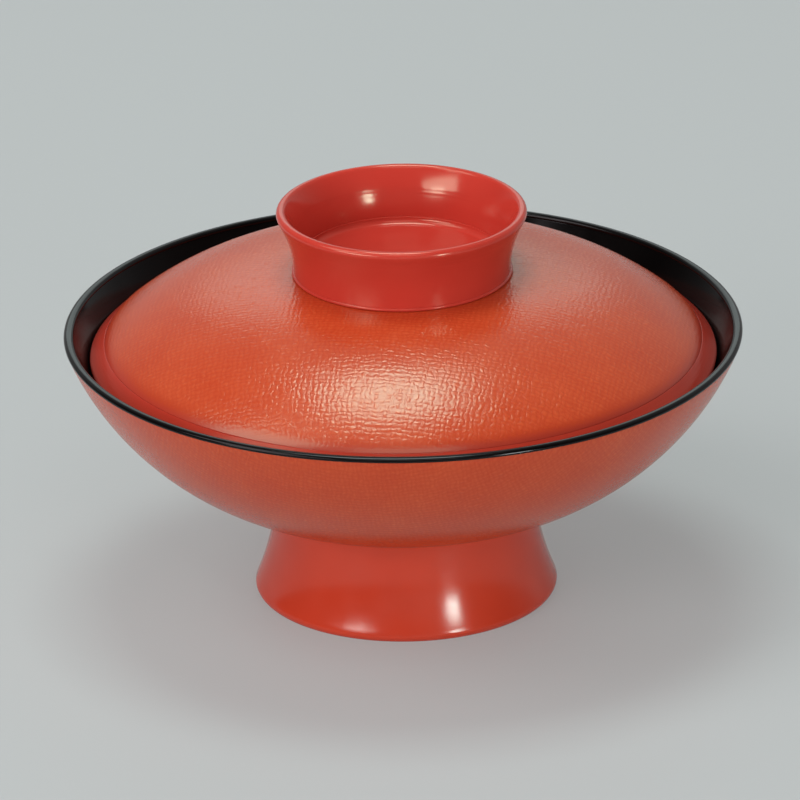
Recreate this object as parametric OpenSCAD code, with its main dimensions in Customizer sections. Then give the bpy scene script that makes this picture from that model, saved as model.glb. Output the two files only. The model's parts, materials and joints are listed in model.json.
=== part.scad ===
// Lidded bowl in the layered lacquer manner, turned about one upright axis.
// The bowl is a shell faced with cloth outside and black lacquer inside, on a flared ring foot.
// The lid is built the same way, rests inside the mouth and is lifted by a ring grip.
// Lengths are in millimetres, +Z is up, and the origin is on the floor under the axis.

/* [Bowl] */
// Height of the bowl from the floor to the top of its rim
bowl_height = 69; // [62:0.5:78]
// Diameter over the rim
rim_diameter = 168.3; // [156:0.5:184]
// Height of the bowl's underside above the floor
underside_height = 23.4; // [19:0.2:28]
// Diameter of the flat middle of the underside
underside_flat = 36; // [26:1:46]
// Thickness of the bowl's floor at the axis
floor_thickness = 5; // [4:0.1:7]
// Diameter of the flat middle of the bowl's inside
inside_flat = 32; // [22:1:40]
// Width of the rounded rim
rim_width = 2.4; // [2:0.1:3.2]
// Height of the rounded rim
rim_height = 1.6; // [1.2:0.1:2.4]
// How far the rim stands out past the wall at its lower edge
rim_overhang = 0.15; // [0.05:0.05:0.5]

/* [Layers] */
// Thickness of the cloth and its lacquer
cloth_thickness = 0.8; // [0.5:0.1:0.9]
// Thickness of the black lacquer inside
lining_thickness = 0.5; // [0.3:0.1:0.6]

/* [Foot] */
// Diameter over the foot's lip
foot_base_diameter = 75.4; // [70:0.2:84]
// Diameter of the foot where it meets the bowl
foot_neck_diameter = 65.2; // [58:0.2:68]
// Thickness of the foot's wall
foot_wall = 3.2; // [2.4:0.1:4]
// Height that is cut off the round lip so that it stands flat
foot_sole_cut = 0.3; // [0.2:0.05:0.6]

/* [Lid] */
// Depth of the middle of the lid's edge below the top of the rim
lid_seat_depth = 6.8; // [5:0.1:10]
// Height of the lid's crown above the top of the rim
lid_rise = 14.9; // [10:0.1:20]
// Width of the flat crown that shows round the grip's bead
lid_crown_ledge = 0.4; // [0.2:0.1:4]
// Thickness of the lid with its layers
lid_thickness = 3; // [2.4:0.1:3.6]
// Width of the plain border between the cloth and the lid's edge
lid_border_width = 4.4; // [3:0.1:6]
// How far the plain border lies below the cloth
lid_border_step = 0.25; // [0.1:0.05:0.4]
// Clearance between the resting lid and the bowl
seat_clearance = 0.3; // [0.2:0.05:0.6]

/* [Grip] */
// Height of the ring grip above the lid's crown
knob_height = 16.8; // [12:0.1:22]
// Diameter of the grip at its foot
knob_base_diameter = 53.8; // [46:0.2:58]
// Diameter over the grip's lip
knob_top_diameter = 62; // [58:0.2:70]
// Thickness of the grip's wall
knob_wall = 2.4; // [1.8:0.1:3]
// Height of the floor inside the grip above the lid's crown
knob_floor_height = 3.1; // [2.2:0.1:5]
// Height of the half-round bead at the grip's foot
knob_bead_height = 0.9; // [0.6:0.1:1.4]
// Radius of the cove between the grip's floor and its wall
knob_cove_radius = 1.6; // [1:0.1:2.4]

/* [Hidden] */
$fn = 180;

// Straight steps that stand for one long arc, and for one round edge
arc_steps = 32;
edge_steps = 16;
// How far a cutting shape runs past what it cuts
overrun = 1;
// Least width left at the upper edge of the cove
cove_edge = 0.4;
// Angle on the rim's round section, below its innermost point, where the inside wall joins it
rim_blend_angle = 20;

cloth_red = "#c04a2b";
smooth_red = "#b5301f";
lacquer_black = "#161413";
bare_wood = "#c8a472";

// Rim section: a flattened bead that ends outside where the wall meets its overhang
rim_half = [rim_width / 2, rim_height / 2];
rim_centre = [rim_diameter / 2, bowl_height] - rim_half;
rim_roll_angle = acos(1 - rim_overhang / rim_half[0]);
wall_top = rim_point(-rim_roll_angle);
band_z = wall_top[1];
blend_point = rim_point(180 + rim_blend_angle);

// Bowl walls: each is flat in the middle and then one arc up to the rim
inside_height = underside_height + floor_thickness;
outer_wall_radius = dish_radius([underside_flat / 2, underside_height], wall_top);
inner_wall_radius = dish_radius([inside_flat / 2, inside_height], blend_point);

// Foot
foot_neck_radius = foot_neck_diameter / 2;
foot_start = [foot_neck_radius - foot_wall / 2, core_underside(foot_neck_radius)];
foot_tip = [(foot_base_diameter - foot_wall) / 2, foot_wall / 2 - foot_sole_cut];

// Lid: its round edge touches the inside wall, less the clearance
edge_radius = (lid_thickness - lid_border_step) / 2;
edge_depth = lid_border_step + edge_radius;
edge_z = bowl_height - lid_seat_depth;
edge_reach = inner_wall_radius - seat_clearance - edge_radius;
edge_drop = inside_height + inner_wall_radius - edge_z;
edge_centre = [inside_flat / 2 + sqrt(edge_reach * edge_reach - edge_drop * edge_drop), edge_z];
crown_z = bowl_height + lid_rise;
crown_radius = knob_base_diameter / 2 + knob_bead_height / 2 + lid_crown_ledge;
crown_corner = [crown_radius, crown_z - edge_depth];
dome_radius = dish_radius(crown_corner, edge_centre) + edge_depth;
dome_sweep = atan2(edge_centre[0] - crown_corner[0], dome_radius - crown_z + edge_z);
cloth_sweep = dome_sweep - 2 * asin(lid_border_width / (2 * dome_radius));

// Grip
knob_base_radius = knob_base_diameter / 2;
knob_seat_z = crown_z - cloth_thickness;
knob_bead_radius = knob_bead_height / 2;
knob_start = [knob_base_radius - knob_wall / 2, crown_z + knob_bead_height];
knob_tip = [(knob_top_diameter - knob_wall) / 2, crown_z + knob_height - knob_wall / 2];
knob_floor_z = crown_z + knob_floor_height;
cove_top_z = knob_floor_z + knob_cove_radius;
cove_centre = [knob_inside(cove_top_z) - cove_edge - knob_cove_radius, cove_top_z];

function reversed(points) = [for (i = [len(points) - 1 : -1 : 0]) points[i]];

// Radius of an arc that leaves a flat at one point and passes through another
function dish_radius(from, to) =
    let (across = to[0] - from[0], up = to[1] - from[1])
    (across * across + up * up) / (2 * abs(up));

// Point on the rim's section at an angle round it
function rim_point(angle) = rim_centre + [rim_half[0] * cos(angle), rim_half[1] * sin(angle)];

// One side of the bowl's wall, from the axis to the lower edge of the rim
function bowl_curve(flat, base, radius) =
    let (sweep = acos((radius + base - band_z) / radius) / arc_steps)
    concat(
        [[0, base]],
        [for (i = [0 : arc_steps]) [flat / 2, base + radius] + radius * spoke(sweep * i - 90)]
    );

// The outside of the bowl, and the same curve at a depth inside its wall
function bowl_outside(depth) =
    bowl_curve(underside_flat, underside_height + depth, outer_wall_radius - depth);

// The inside of the bowl, and the same curve at a depth inside its wall
function bowl_inside(depth) =
    bowl_curve(inside_flat, inside_height - depth, inner_wall_radius + depth);

// Height of the underside of the bowl's core at a distance from the axis
function core_underside(distance) =
    let (radius = outer_wall_radius - cloth_thickness, across = distance - underside_flat / 2)
    underside_height + outer_wall_radius - sqrt(radius * radius - across * across);

// Point on the lid's dome at an angle from upright, at a depth inside its wall
function dome_point(depth, angle) =
    [crown_radius, crown_z - dome_radius] + (dome_radius - depth) * spoke(90 - angle);

// The part of the lid's top that is faced with cloth, at a depth inside its wall
function lid_face(depth) =
    let (step = cloth_sweep / arc_steps)
    concat(
        [[0, crown_z - depth]],
        [for (i = [0 : arc_steps]) dome_point(depth, step * i)]
    );

// The part of the lid's top that is left plain, from the end of the cloth to the edge
function lid_border(depth) =
    let (step = (dome_sweep - cloth_sweep) / edge_steps)
    [for (i = [0 : edge_steps]) dome_point(depth, cloth_sweep + step * i)];

// The whole top of the lid, at a depth inside its wall
function lid_dome(depth) =
    let (border = lid_border(depth))
    concat(lid_face(depth), [for (i = [1 : edge_steps]) border[i]]);

// Middle of a wall that starts upright and curves sideways to its tip, at a share of its height
function flare_point(start, tip, share) =
    start + [(tip[0] - start[0]) * share * share, (tip[1] - start[1]) * share];

// Angle of the way out of that wall, square to it
function flare_angle(start, tip, share) =
    let (along = tip[1] - start[1])
    atan2(-2 * share * sign(along) * (tip[0] - start[0]), abs(along));

// A point beside the middle of that wall
function flare_edge(start, tip, share, offset) =
    flare_point(start, tip, share) + offset * spoke(flare_angle(start, tip, share));

// Section of that wall, with a round lip
function flared_wall(start, tip, wall) =
    let (shares = [for (i = [0 : arc_steps]) i / arc_steps])
    let (tip_angle = flare_angle(start, tip, 1), turn = sign(tip[1] - start[1]))
    concat(
        [for (share = shares) flare_edge(start, tip, share, wall / 2)],
        [for (i = [1 : edge_steps - 1]) tip + wall / 2 * spoke(tip_angle + turn * half_turn(i))],
        [for (share = reversed(shares)) flare_edge(start, tip, share, -wall / 2)]
    );

// Unit step at an angle
function spoke(angle) = [cos(angle), sin(angle)];

// Angle of one step along a half-round edge
function half_turn(i) = 180 * i / edge_steps;

// Inner radius of the grip's wall at a height
function knob_inside(height) =
    let (share = (height - knob_start[1]) / (knob_tip[1] - knob_start[1]))
    flare_point(knob_start, knob_tip, share)[0] - knob_wall / 2;

module turned(tint) {
    color(tint) rotate_extrude() children();
}

module layer(outside, inside) {
    polygon(concat(outside, reversed(inside)));
}

// The upright column from the axis to a radius, used to part one layer from another
module column(radius) {
    square([radius, crown_z + knob_height]);
}

// Section of a flared ring with an upright stretch from its seat to the start of the flare
module ring_outline(start, tip, wall, seat_z) {
    polygon(concat(
        [[start[0] + wall / 2, seat_z]],
        flared_wall(start, tip, wall),
        [[start[0] - wall / 2, seat_z]]
    ));
}

// The foot's section, run on into the core and cut flat at the floor
module foot_outline() {
    difference() {
        ring_outline(foot_start, foot_tip, foot_wall, foot_start[1] + overrun);
        translate([0, -foot_wall]) square([foot_base_diameter, foot_wall]);
    }
}

module knob_outline() {
    ring_outline(knob_start, knob_tip, knob_wall, knob_seat_z);
}

// Turned shell of the bowl
module bowl_core() {
    turned(bare_wood) layer(bowl_outside(cloth_thickness), bowl_inside(lining_thickness));
}

// Cloth-textured red face outside the bowl, from the foot to the rim
module bowl_cloth() {
    turned(cloth_red) difference() {
        layer(bowl_outside(0), bowl_outside(cloth_thickness));
        foot_outline();
        column(foot_start[0]);
    }
}

// Black lacquer inside the bowl
module bowl_lining() {
    turned(lacquer_black) layer(bowl_inside(lining_thickness), bowl_inside(0));
}

// Rounded black rim on top of the wall
module rim_band() {
    inside_wall = bowl_inside(0);
    first_angle = 180 + rim_blend_angle;
    turn = (first_angle + rim_roll_angle) / arc_steps;
    turned(lacquer_black) polygon(concat(
        [inside_wall[len(inside_wall) - 1]],
        [for (i = [0 : arc_steps]) rim_point(first_angle - turn * i)]
    ));
}

// Flared ring foot, glued to the core through the cloth
module foot_ring() {
    turned(smooth_red) difference() {
        foot_outline();
        polygon(concat(bowl_outside(cloth_thickness), [[0, band_z]]));
    }
}

// Lacquered underside within the foot
module foot_well_lining() {
    turned(smooth_red) difference() {
        intersection() {
            layer(bowl_outside(0), bowl_outside(cloth_thickness));
            column(foot_start[0]);
        }
        foot_outline();
    }
}

// Turned shell of the lid
module lid_core() {
    turned(bare_wood) layer(lid_dome(cloth_thickness), lid_dome(lid_thickness - lining_thickness));
}

// Cloth-textured red face of the lid, round the grip
module lid_cloth() {
    turned(cloth_red) difference() {
        layer(lid_face(0), lid_face(cloth_thickness));
        column(knob_base_radius);
    }
}

// Black lacquer under the lid
module lid_lining() {
    turned(lacquer_black) layer(lid_dome(lid_thickness - lining_thickness), lid_dome(lid_thickness));
}

// Plain border of the lid, with the round edge that rests on the inside of the bowl
module lid_edge_band() {
    turned(smooth_red) polygon(concat(
        lid_border(lid_border_step),
        [for (i = [1 : edge_steps]) edge_centre + edge_radius * spoke(90 - dome_sweep - half_turn(i))],
        reversed(lid_border(cloth_thickness))
    ));
}

// Ring grip, flared to a thin lip
module knob_ring() {
    turned(smooth_red) knob_outline();
}

// Half-round bead on the lid round the grip's foot
module knob_bead() {
    turned(smooth_red) polygon([for (i = [0 : edge_steps])
        [knob_base_radius, crown_z + knob_bead_radius] + knob_bead_radius * spoke(90 - half_turn(i))]);
}

// Floor inside the grip, coved up to the wall
module knob_floor() {
    turned(smooth_red) difference() {
        polygon(concat(
            [[0, knob_floor_z], [0, knob_seat_z], [knob_start[0], knob_seat_z], knob_start],
            [[knob_inside(cove_top_z) + knob_wall / 2, cove_top_z]],
            [for (i = [0 : edge_steps]) cove_centre + knob_cove_radius * spoke(-half_turn(i) / 2)]
        ));
        knob_outline();
    }
}

bowl_core();
bowl_cloth();
bowl_lining();
rim_band();
foot_ring();
foot_well_lining();
lid_core();
lid_cloth();
lid_lining();
lid_edge_band();
knob_ring();
knob_bead();
knob_floor();
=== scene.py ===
import json
import math

import bpy
import numpy as np
from mathutils import Matrix, Vector


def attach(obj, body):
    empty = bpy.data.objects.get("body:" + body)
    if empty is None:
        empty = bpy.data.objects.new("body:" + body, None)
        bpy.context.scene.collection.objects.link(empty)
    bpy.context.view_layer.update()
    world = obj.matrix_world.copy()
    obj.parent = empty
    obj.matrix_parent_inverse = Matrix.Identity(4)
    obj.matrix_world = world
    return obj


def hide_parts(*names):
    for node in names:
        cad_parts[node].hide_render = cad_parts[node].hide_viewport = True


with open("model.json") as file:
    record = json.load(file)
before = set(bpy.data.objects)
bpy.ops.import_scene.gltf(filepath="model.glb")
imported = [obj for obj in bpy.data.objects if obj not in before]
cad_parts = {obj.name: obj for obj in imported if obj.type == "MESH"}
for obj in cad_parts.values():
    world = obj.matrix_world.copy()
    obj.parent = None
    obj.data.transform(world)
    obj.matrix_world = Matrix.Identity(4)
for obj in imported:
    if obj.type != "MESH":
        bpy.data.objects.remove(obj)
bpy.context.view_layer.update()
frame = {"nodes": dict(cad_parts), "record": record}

MM = 0.001

# Camera: a long lens from well back, looking down on the front of the bowl
CAMERA_ELEVATION = 22.923
CAMERA_DISTANCE = 2457.9 * MM
CAMERA_ROLL = 0.8
CAMERA_LENS = 443.8
CAMERA_SENSOR = 36.0
ORBIT_CENTRE = Vector((0.0, 0.0, 35.0)) * MM
CAMERA_AIM = Vector((-1.0, 0.0, 49.3)) * MM

# Decimal places, in metres, to which the points of one ring agree
RING_PLACES = 6
# Steps round a turned piece, and steps round a softened corner
SEGMENTS = 256
CORNER_STEPS = 5
# A corner sharper than this is softened, and a crease sharper than this stays crisp
CORNER_ANGLE = 24.0
CREASE_ANGLE = 40.0
# Radius of a softened corner, and the most of a short side that it may take
CORNER_RADIUS = 0.15 * MM
CORNER_REACH_SHARE = 0.45

# The lid's cloth at its outer end: how far it is worn down, and how far in the lacquer fills the weave
LID_CLOTH_WEAR = 0.24 * MM
LID_CLOTH_FILL = 4.0 * MM

# The cloth, in millimetres: thread spacing, and how far and how often the threads stray
THREAD_PITCH = 1.35
THREAD_DRIFT = 2.4
THREAD_DRIFT_SCALE = 0.32
# Thick and thin lengths of thread: how often they change along and across, and how high the thin ones stay
SLUB_ALONG_SCALE = 0.16
SLUB_ACROSS_SCALE = 1.1
SLUB_LEAST_SHARE = 0.3
# Rise of the threads under the lacquer
THREAD_RISE = 0.075 * MM
# Turn of the cloth, which lies nearly square to the camera
CLOTH_TURN = math.radians(8.0)
# Soft clouds in the cloth's colour and polish
CLOTH_CLOUD_SCALE = 0.05
CLOTH_POLISH_SHARE = 0.1
# Where the cloth's dark and light tones lie, from 0 for filled weave to 1 for the highest thread
CLOTH_DARK_AT = 0.2
CLOTH_LIGHT_AT = 0.8

# Smooth lacquer: clouds in its colour, waves in its face, and unevenness of its polish
CLOUD_SCALE = 38.0
WAVE_SCALE = 70.0
WAVE_RISE = 0.12 * MM
POLISH_SCALE = 160.0
POLISH_SHARE = 0.15

# Wood: scales of its grain, and its dull face
GRAIN_SCALES = (40.0, 600.0, 400.0)
WOOD_ROUGHNESS = 0.6

# Most of a noise lies between these
NOISE_LOW = 0.3
NOISE_HIGH = 0.7

# Dark and light tones; the cloth's first tone is where lacquer fills the weave
RED_TONES = (0.52, 0.036, 0.024), (0.58, 0.045, 0.03)
# The foot's red is a little more orange than the knob's, and lighter: painted light that makes up for the
# shade under the bowl
FOOT_ORANGE_AND_PAINTED_LIGHT_TONES = (0.6, 0.046, 0.018), (0.67, 0.056, 0.023)
# The lid's edge band is a darker copy of the knob's red lacquer: painted shade
SHADED_BORDER_TONES = (0.46, 0.032, 0.017), (0.52, 0.04, 0.022)
BLACK_TONES = (0.002, 0.0015, 0.0015), (0.005, 0.004, 0.004)
CLOTH_TONES = (0.49, 0.036, 0.02), (0.52, 0.045, 0.012), (0.62, 0.08, 0.022)
WOOD_TONES = (0.36, 0.21, 0.09), (0.55, 0.37, 0.19)
# Tints of the gloss
CLOTH_SHEEN = (0.72, 1.0, 0.76)
RED_SHEEN = (0.95, 1.0, 0.75)
FOOT_SHEEN = (0.88, 1.0, 0.95)
BLACK_SHEEN = (1.0, 0.9, 0.92)

# Floor: half its width, and its dull face
FLOOR_HALF = 4.0
FLOOR_ROUGHNESS = 0.62
FLOOR_SPECULAR = 0.18
# Its colour as it lights the bowl and, where it is seen, the part that takes light and the part that glows
FLOOR_COLOUR = (0.48, 0.48, 0.48)
FLOOR_LIT_COLOUR = (0.315, 0.315, 0.315)
FLOOR_GLOW_COLOUR = (0.196, 0.204, 0.204)

# The back of the room, as an azimuth to the right of the camera's side, and the tint of the room's light
BACK_AZIMUTH = 165.0
ROOM_TINT = (0.97, 1.0, 1.0)
# Strength of the soft light from all round, at the front and the back of the room
ROOM_FRONT = 0.42
ROOM_BACK = 0.14
# Strength of the surroundings that the gloss mirrors
GLOSS_FRONT = 0.03
GLOSS_BACK = 0.4
# Where these two start to change, and where they have changed, from -1 at the front to 1 at the back
ROOM_FADE_START = -0.4
GLOSS_FADE_START = 0.0
FADE_END = 0.9

# Lamps: how far they stand from the bowl, and their colours
LAMP_DISTANCE = 2.0
TOP_LAMP_DISTANCE = 1.6
WHITE = (1.0, 1.0, 1.0)
COOL = (0.82, 1.0, 0.98)


# Turned meshes

def rings_of(mesh):
    """The rings of points on a turned mesh, as (radius, height), and for each ring the rings beside it."""
    index_of = {}
    ring_of = []
    for vertex in mesh.vertices:
        radius = math.hypot(vertex.co.x, vertex.co.y)
        key = (round(radius, RING_PLACES), round(vertex.co.z, RING_PLACES))
        ring_of.append(index_of.setdefault(key, len(index_of)))
    beside = [set() for _ in index_of]
    for edge in mesh.edges:
        a, b = (ring_of[i] for i in edge.vertices)
        if a != b:
            beside[a].add(b)
            beside[b].add(a)
    return list(index_of), beside


def turned_outline(node):
    """The outline of a turned CAD node, (radius, height) points in order, and whether it is a closed loop."""
    rings, beside = rings_of(frame["nodes"][node].data)
    ends = [i for i, near in enumerate(beside) if len(near) == 1]
    walk = [ends[0] if ends else 0]
    onward = beside[walk[0]]
    while onward:
        walk.append(min(onward))
        onward = beside[walk[-1]] - set(walk)
    return ordered(np.array([rings[i] for i in walk]), not ends), not ends


def ordered(outline, loop):
    """The outline turned so that the solid lies on its left."""
    ring = outline if loop else np.vstack([outline, [0.0, outline[-1][1]], [0.0, outline[0][1]]])
    after = np.roll(ring, -1, axis=0)
    area = np.sum(ring[:, 0] * after[:, 1] - after[:, 0] * ring[:, 1])
    return outline if area > 0 else outline[::-1]


def softened(outline, loop):
    """The outline with its sharp corners rounded."""
    count = len(outline)
    points = []
    for i, at in enumerate(outline):
        if not loop and i in (0, count - 1):
            points.append(at)
        else:
            points += rounded(at, outline[i - 1] - at, outline[(i + 1) % count] - at)
    return np.array(points)


def rounded(at, back, ahead):
    """The points that stand for one corner, given the ways back and ahead along the outline."""
    reach = min(np.linalg.norm(back), np.linalg.norm(ahead))
    back = back / np.linalg.norm(back)
    ahead = ahead / np.linalg.norm(ahead)
    turn = math.pi - math.acos(np.clip(np.dot(back, ahead), -1.0, 1.0))
    if math.degrees(turn) < CORNER_ANGLE:
        return [at]
    cut = min(CORNER_RADIUS * math.tan(turn / 2.0), CORNER_REACH_SHARE * reach)
    shares = np.linspace(0.0, 1.0, CORNER_STEPS + 1)
    return [at + cut * ((1.0 - share) ** 2 * back + share ** 2 * ahead) for share in shares]


def feathered(outline, drop):
    """The outline of a layer whose outer end is worn down by a drop, toward the face below it."""
    end = int(np.argmax(outline[:, 0]))
    ways = [outline[end - 1] - outline[end], outline[(end + 1) % len(outline)] - outline[end]]
    down = min(ways, key=np.linalg.norm)
    worn = outline.copy()
    worn[end] += drop * down / np.linalg.norm(down)
    return worn


def along(outline):
    """Distance along a thin layer's outline from its inner end, the same on both faces."""
    start = int(np.argmin(outline[:, 0]))
    ring = np.roll(outline, -start, axis=0)
    steps = np.linalg.norm(np.diff(np.vstack([ring, ring[:1]]), axis=0), axis=1)
    forward = np.concatenate([[0.0], np.cumsum(steps)[:-1]])
    return np.roll(ring[0, 0] + np.minimum(forward, steps.sum() - forward), start)


def turned_angles():
    return np.linspace(0.0, 2.0 * math.pi, SEGMENTS, endpoint=False)


def turned_points(outline, loop):
    """The outline's points turned about the upright axis, then the middles of an open one's end discs."""
    angles = turned_angles()
    points = np.zeros((len(outline), SEGMENTS, 3))
    points[..., :2] = outline[:, None, :1] * np.stack([np.cos(angles), np.sin(angles)], axis=-1)
    points[..., 2] = outline[:, 1:2]
    points = points.reshape(-1, 3)
    if loop:
        return points
    return np.vstack([points, [0.0, 0.0, outline[0][1]], [0.0, 0.0, outline[-1][1]]])


def turned_faces(count, loop):
    """Faces between neighbouring rings, and the end discs of an open outline."""
    here = np.arange(SEGMENTS)
    after = np.roll(here, -1)
    faces = []
    for i in range(count if loop else count - 1):
        low = i * SEGMENTS
        high = (i + 1) % count * SEGMENTS
        faces += np.stack([low + here, low + after, high + after, high + here], axis=-1).tolist()
    if not loop:
        first = count * SEGMENTS
        top = first - SEGMENTS
        faces += np.stack([after, here, np.full(SEGMENTS, first)], axis=-1).tolist()
        faces += np.stack([top + here, top + after, np.full(SEGMENTS, first + 1)], axis=-1).tolist()
    return faces


def lathe(name, outline, loop):
    """A mesh turned about the upright axis; an open outline is closed by a disc at each end."""
    mesh = bpy.data.meshes.new(name)
    mesh.from_pydata(turned_points(outline, loop).tolist(), [], turned_faces(len(outline), loop))
    mesh.shade_smooth()
    mesh.set_sharp_from_angle(angle=math.radians(CREASE_ANGLE))
    piece = bpy.data.objects.new(name, mesh)
    bpy.context.scene.collection.objects.link(piece)
    return piece


def mark_weave(piece, outline, fill):
    """Keeps each point's place on the flat cloth, in millimetres, and how far lacquer fills the weave."""
    reach = along(outline)
    filled = np.clip(1.0 - (reach.max() - reach) / fill, 0.0, 1.0) if fill else np.zeros(len(reach))
    distance = np.repeat(reach / MM, SEGMENTS)
    angles = np.tile(turned_angles(), len(outline)) + CLOTH_TURN
    flat = np.stack([distance * np.cos(angles), distance * np.sin(angles), np.zeros(len(distance))], axis=-1)
    layer = piece.data.attributes.new("weave", "FLOAT_VECTOR", "POINT")
    layer.data.foreach_set("vector", flat.astype(np.float32).ravel())
    layer = piece.data.attributes.new("filled", "FLOAT", "POINT")
    layer.data.foreach_set("value", np.repeat(filled, SEGMENTS).astype(np.float32))


# Materials

class Graph:
    """A material's node tree, with short ways to add the nodes used here."""

    def __init__(self, name):
        self.material = bpy.data.materials.new(name)
        self.material.use_nodes = True
        self.tree = self.material.node_tree
        self.shader = self.tree.nodes["Principled BSDF"]

    def add(self, kind, **inputs):
        made = self.tree.nodes.new(kind)
        for key, value in inputs.items():
            self.feed(made.inputs[key.replace("_", " ")], value)
        return made

    def feed(self, socket, value):
        if isinstance(value, bpy.types.NodeSocket):
            self.tree.links.new(value, socket)
        else:
            socket.default_value = value

    def place(self):
        return self.add("ShaderNodeTexCoord").outputs["Object"]

    def attribute(self, name, output):
        made = self.tree.nodes.new("ShaderNodeAttribute")
        made.attribute_name = name
        return made.outputs[output]

    def noise(self, vector, scale, detail=2.0, output="Fac"):
        return self.add("ShaderNodeTexNoise", Vector=vector, Scale=scale, Detail=detail).outputs[output]

    def stretched(self, vector, scale):
        return self.add("ShaderNodeMapping", Vector=vector, Scale=scale).outputs["Vector"]

    def spread(self, noise, low, high):
        """A noise spread over the range from low to high."""
        made = self.add("ShaderNodeMapRange", Value=noise)
        made.inputs["From Min"].default_value = NOISE_LOW
        made.inputs["From Max"].default_value = NOISE_HIGH
        made.inputs["To Min"].default_value = low
        made.inputs["To Max"].default_value = high
        return made.outputs["Result"]

    def math(self, operation, *values):
        made = self.tree.nodes.new("ShaderNodeMath")
        made.operation = operation
        for socket, value in zip(made.inputs, values):
            self.feed(socket, value)
        return made.outputs["Value"]

    def vector(self, operation, first, second, third=None):
        made = self.tree.nodes.new("ShaderNodeVectorMath")
        made.operation = operation
        self.feed(made.inputs["Vector"], first)
        self.feed(made.inputs["Scale" if operation == "SCALE" else 1], second)
        if third is not None:
            self.feed(made.inputs[2], third)
        return made.outputs["Vector"]

    def crossing(self, thread, other, lift):
        """Height of one set of threads, which rise and sink in turn across the other set."""
        turn = self.math("MULTIPLY", self.math("SIGN", thread), other)
        height = self.math("MULTIPLY_ADD", turn, lift, 0.5)
        return self.math("MULTIPLY", self.math("ABSOLUTE", thread), height)

    def slubs(self, place, scales):
        """Thick and thin lengths of the threads that run along the lesser scale."""
        return self.spread(self.noise(self.stretched(place, scales), 1.0), SLUB_LEAST_SHARE, 1.0)

    def tint(self, value, *stops):
        made = self.add("ShaderNodeValToRGB", Fac=value)
        ramp = made.color_ramp.elements
        while len(ramp) < len(stops):
            ramp.new(0.5)
        for element, (at, colour) in zip(ramp, stops):
            element.position = at
            element.color = (*colour, 1.0)
        return made.outputs["Color"]

    def bump(self, height, distance):
        return self.add("ShaderNodeBump", Height=height, Distance=distance).outputs["Normal"]

    def finish(self, **inputs):
        for key, value in inputs.items():
            self.feed(self.shader.inputs[key.replace("_", " ")], value)
        return self.material


def gloss_lacquer(name, tones, roughness, specular, sheen):
    """Smooth brushed lacquer: a deep colour under a gloss that is not quite even."""
    graph = Graph(name)
    place = graph.place()
    dark, light = tones
    polish = graph.noise(place, POLISH_SCALE)
    waves = graph.noise(place, WAVE_SCALE, detail=1.0)
    return graph.finish(
        Base_Color=graph.tint(graph.noise(place, CLOUD_SCALE), (NOISE_LOW, dark), (NOISE_HIGH, light)),
        Roughness=graph.spread(polish, roughness * (1.0 - POLISH_SHARE), roughness * (1.0 + POLISH_SHARE)),
        Specular_IOR_Level=specular,
        Specular_Tint=(*sheen, 1.0),
        Normal=graph.bump(waves, WAVE_RISE),
    )


def thread_height(graph, flat):
    """Height of plain-woven threads that stray a little: each rises where it crosses over its neighbour."""
    drift = graph.noise(flat, THREAD_DRIFT_SCALE, output="Color")
    place = graph.vector("MULTIPLY_ADD", drift, (THREAD_DRIFT,) * 3, flat)
    across = graph.add("ShaderNodeSeparateXYZ", Vector=graph.vector("SCALE", place, math.pi / THREAD_PITCH))
    warp = graph.math("SINE", across.outputs["X"])
    weft = graph.math("SINE", across.outputs["Y"])
    warp_slubs = graph.slubs(place, (SLUB_ACROSS_SCALE, SLUB_ALONG_SCALE, 1.0))
    weft_slubs = graph.slubs(place, (SLUB_ALONG_SCALE, SLUB_ACROSS_SCALE, 1.0))
    over = graph.math("MULTIPLY", graph.crossing(warp, weft, 0.5), warp_slubs)
    under = graph.math("MULTIPLY", graph.crossing(weft, warp, -0.5), weft_slubs)
    return graph.math("MAXIMUM", over, under)


def cloth_lacquer(name, tones, roughness, specular, sheen):
    """Lacquer over plain-woven cloth, smooth where it fills the weave."""
    graph = Graph(name)
    flat = graph.attribute("weave", "Vector")
    woven = graph.math("SUBTRACT", 1.0, graph.attribute("filled", "Fac"))
    strokes = graph.math("MULTIPLY", thread_height(graph, flat), woven)
    clouds = graph.noise(flat, CLOTH_CLOUD_SCALE)
    mean = graph.math("MULTIPLY", graph.math("ADD", strokes, clouds), 0.5)
    filling, dark, light = tones
    stops = (0.0, filling), (CLOTH_DARK_AT, dark), (CLOTH_LIGHT_AT, light)
    dull = roughness * (1.0 + CLOTH_POLISH_SHARE)
    return graph.finish(
        Base_Color=graph.tint(graph.math("MULTIPLY", mean, woven), *stops),
        Roughness=graph.spread(clouds, roughness * (1.0 - CLOTH_POLISH_SHARE), dull),
        Specular_IOR_Level=specular,
        Specular_Tint=(*sheen, 1.0),
        Normal=graph.bump(strokes, THREAD_RISE),
    )


def core_wood(name, tones):
    """Pale turned wood with long grain."""
    graph = Graph(name)
    dark, light = tones
    grain = graph.noise(graph.stretched(graph.place(), GRAIN_SCALES), 1.0, detail=4.0)
    return graph.finish(
        Base_Color=graph.tint(grain, (NOISE_LOW, dark), (NOISE_HIGH, light)),
        Roughness=WOOD_ROUGHNESS,
    )


# The object

body_of = {n: body for body, members in frame["record"]["behaviour"]["bodies"].items() for n in members}


def dress(node, material, soft=True, wear=0.0):
    """Stands a finely turned piece in for a CAD node, with softened corners and a worn outer end if asked."""
    outline, loop = turned_outline(node)
    if wear:
        outline = feathered(outline, wear)
    if soft:
        outline = softened(outline, loop)
    piece = lathe(node + ".turned", outline, loop)
    piece.data.materials.append(material)
    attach(piece, body_of[node])
    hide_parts(node)
    return piece, outline


def dress_cloth(node, material, wear=0.0, fill=0.0):
    """Stands a finely turned piece in for a layer of cloth, with its weave marked on it."""
    piece, outline = dress(node, material, wear=wear)
    mark_weave(piece, outline, fill)


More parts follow.
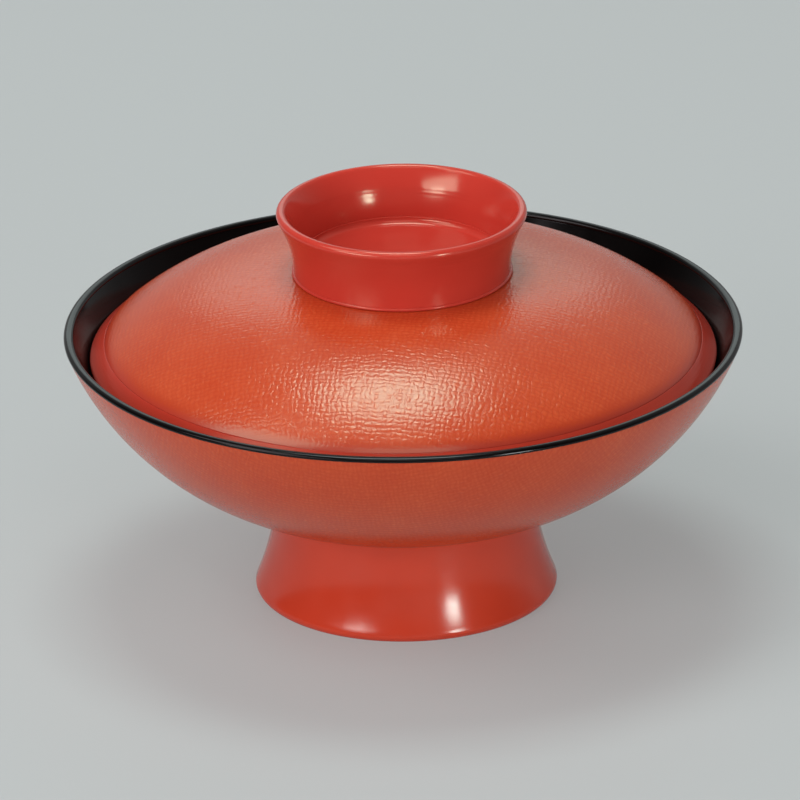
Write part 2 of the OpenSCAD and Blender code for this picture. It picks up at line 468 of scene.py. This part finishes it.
def dress_bowl(wood, lining):
    cloth = cloth_lacquer("bowl_cloth_lacquer", CLOTH_TONES, roughness=0.21, specular=0.42, sheen=CLOTH_SHEEN)
    rim = gloss_lacquer("rim_black_lacquer", BLACK_TONES, roughness=0.13, specular=0.25, sheen=BLACK_SHEEN)
    # The foot's lacquer is lightened above the knob's: painted light against the shade under the bowl
    foot = gloss_lacquer("foot_red_lacquer_painted_light", FOOT_ORANGE_AND_PAINTED_LIGHT_TONES, roughness=0.16, specular=0.43, sheen=FOOT_SHEEN)
    dress("bowl_core", wood, soft=False)
    dress_cloth("bowl_cloth", cloth)
    dress("bowl_lining", lining, soft=False)
    dress("rim_band", rim, soft=False)
    dress("foot_ring", foot)
    dress("foot_well_lining", foot)


def dress_lid(wood, lining):
    cloth = cloth_lacquer("lid_cloth_lacquer", CLOTH_TONES, roughness=0.245, specular=0.76, sheen=CLOTH_SHEEN)
    # The edge band's red is darkened below the knob's: painted shade
    shaded_border = gloss_lacquer("border_red_lacquer_painted_shade", SHADED_BORDER_TONES, roughness=0.2, specular=0.3, sheen=RED_SHEEN)
    grip = gloss_lacquer("red_lacquer", RED_TONES, roughness=0.16, specular=0.5, sheen=RED_SHEEN)
    dress("lid_core", wood, soft=False)
    dress_cloth("lid_cloth", cloth, LID_CLOTH_WEAR, LID_CLOTH_FILL)
    dress("lid_lining", lining, soft=False)
    dress("lid_edge_band", shaded_border)
    dress("knob_ring", grip)
    dress("knob_bead", grip)
    dress("knob_floor", grip)


def dress_object():
    wood = core_wood("core_wood", WOOD_TONES)
    lining = gloss_lacquer(
        "lining_black_lacquer", BLACK_TONES, roughness=0.13, specular=0.16, sheen=BLACK_SHEEN
    )
    dress_bowl(wood, lining)
    dress_lid(wood, lining)


# Camera, floor and light

def aimed(azimuth, elevation):
    """Unit way out from the bowl: azimuth is to the right of the camera's side."""
    turn = math.radians(azimuth)
    lift = math.radians(elevation)
    return Vector((math.cos(lift) * math.sin(turn), -math.cos(lift) * math.cos(turn), math.sin(lift)))


def add_camera():
    data = bpy.data.cameras.new("camera")
    data.sensor_width = CAMERA_SENSOR
    data.lens = CAMERA_LENS
    camera = bpy.data.objects.new("camera", data)
    bpy.context.scene.collection.objects.link(camera)
    place = ORBIT_CENTRE + CAMERA_DISTANCE * aimed(0.0, CAMERA_ELEVATION)
    look = (CAMERA_AIM - place).to_track_quat("-Z", "Y").to_matrix().to_4x4()
    roll = Matrix.Rotation(math.radians(-CAMERA_ROLL), 4, "Z")
    camera.matrix_world = Matrix.Translation(place) @ look @ roll
    bpy.context.scene.camera = camera


def floor_material():
    """A plain pale floor, which glows a little where it is seen or mirrored, so that its shadows stay pale."""
    graph = Graph("floor")
    rays = graph.add("ShaderNodeLightPath").outputs
    mirrored = graph.math("MAXIMUM", rays["Is Glossy Ray"], rays["Is Transmission Ray"])
    seen = graph.math("MAXIMUM", rays["Is Camera Ray"], mirrored)
    return graph.finish(
        Base_Color=graph.tint(seen, (0.0, FLOOR_COLOUR), (1.0, FLOOR_LIT_COLOUR)),
        Roughness=FLOOR_ROUGHNESS,
        Specular_IOR_Level=FLOOR_SPECULAR,
        Emission_Color=(*FLOOR_GLOW_COLOUR, 1.0),
        Emission_Strength=seen,
    )


def add_floor():
    span = (-FLOOR_HALF, FLOOR_HALF)
    corners = [(x, y, 0.0) for y in span for x in span]
    mesh = bpy.data.meshes.new("floor")
    mesh.from_pydata(corners, [], [(0, 1, 3, 2)])
    mesh.materials.append(floor_material())
    floor = bpy.data.objects.new("floor", mesh)
    bpy.context.scene.collection.objects.link(floor)


def room_fade(tree, toward, start, front, back):
    """A strength that changes smoothly from the front of the room to its back."""
    fade = tree.nodes.new("ShaderNodeMapRange")
    fade.interpolation_type = "SMOOTHSTEP"
    fade.inputs["From Min"].default_value = start
    fade.inputs["From Max"].default_value = FADE_END
    fade.inputs["To Min"].default_value = front
    fade.inputs["To Max"].default_value = back
    tree.links.new(toward, fade.inputs["Value"])
    return fade.outputs["Result"]


def add_world():
    """Soft light from all round, more of it from the front; the gloss mirrors paler surroundings behind."""
    world = bpy.data.worlds.new("world")
    bpy.context.scene.world = world
    world.use_nodes = True
    tree = world.node_tree
    coordinates = tree.nodes.new("ShaderNodeTexCoord")
    toward = tree.nodes.new("ShaderNodeVectorMath")
    toward.operation = "DOT_PRODUCT"
    toward.inputs[1].default_value = aimed(BACK_AZIMUTH, 0.0)
    tree.links.new(coordinates.outputs["Generated"], toward.inputs[0])
    room = room_fade(tree, toward.outputs["Value"], ROOM_FADE_START, ROOM_FRONT, ROOM_BACK)
    gloss = room_fade(tree, toward.outputs["Value"], GLOSS_FADE_START, GLOSS_FRONT, GLOSS_BACK)
    rays = tree.nodes.new("ShaderNodeLightPath")
    strength = tree.nodes.new("ShaderNodeMix")
    tree.links.new(rays.outputs["Is Glossy Ray"], strength.inputs["Factor"])
    tree.links.new(room, strength.inputs["A"])
    tree.links.new(gloss, strength.inputs["B"])
    background = tree.nodes["Background"]
    background.inputs["Color"].default_value = (*ROOM_TINT, 1.0)
    tree.links.new(strength.outputs["Result"], background.inputs["Strength"])


def soft_light(name, way, size, watts, colour=WHITE, distance=LAMP_DISTANCE, spread=True, mirrored=True):
    """A rectangular lamp that faces the bowl: spread over its surfaces, mirrored in their gloss, or both."""
    data = bpy.data.lights.new(name, "AREA")
    data.shape = "RECTANGLE"
    data.size, data.size_y = size
    data.energy = watts
    data.color = colour
    lamp = bpy.data.objects.new(name, data)
    bpy.context.scene.collection.objects.link(lamp)
    lamp.visible_diffuse = spread
    lamp.visible_glossy = mirrored
    lamp.location = way * distance
    lamp.rotation_euler = way.to_track_quat("Z", "Y").to_euler()


def add_lamps():
    overhead = aimed(-165.0, 80.5)
    soft_light("top_light", overhead, size=(0.6, 0.6), watts=9.2, colour=COOL, distance=TOP_LAMP_DISTANCE)
    soft_light("right_light", aimed(36.0, 10.5), size=(0.32, 0.34), watts=10.5, colour=COOL, spread=False)
    soft_light("left_gleam", aimed(-40.0, 20.0), size=(0.5, 0.25), watts=3.5, spread=False)
    soft_light("right_fill", aimed(36.0, 11.5), size=(0.4, 0.4), watts=6.0, colour=COOL, mirrored=False)
    soft_light("left_light", aimed(-43.0, 25.0), size=(1.25, 0.45), watts=10.0)
    soft_light("left_high_light", aimed(-70.0, 50.0), size=(1.0, 1.0), watts=9.0)
    soft_light("front_high_light", aimed(0.0, 56.0), size=(1.0, 0.6), watts=3.0)
    soft_light("front_fill", aimed(0.0, 8.0), size=(1.6, 0.4), watts=6.5, mirrored=False)
    soft_light("back_light", aimed(180.0, 28.0), size=(1.2, 0.7), watts=2.4, colour=COOL)


dress_object()
add_camera()
add_floor()
add_world()
add_lamps()
bpy.context.scene.view_settings.view_transform = "Standard"
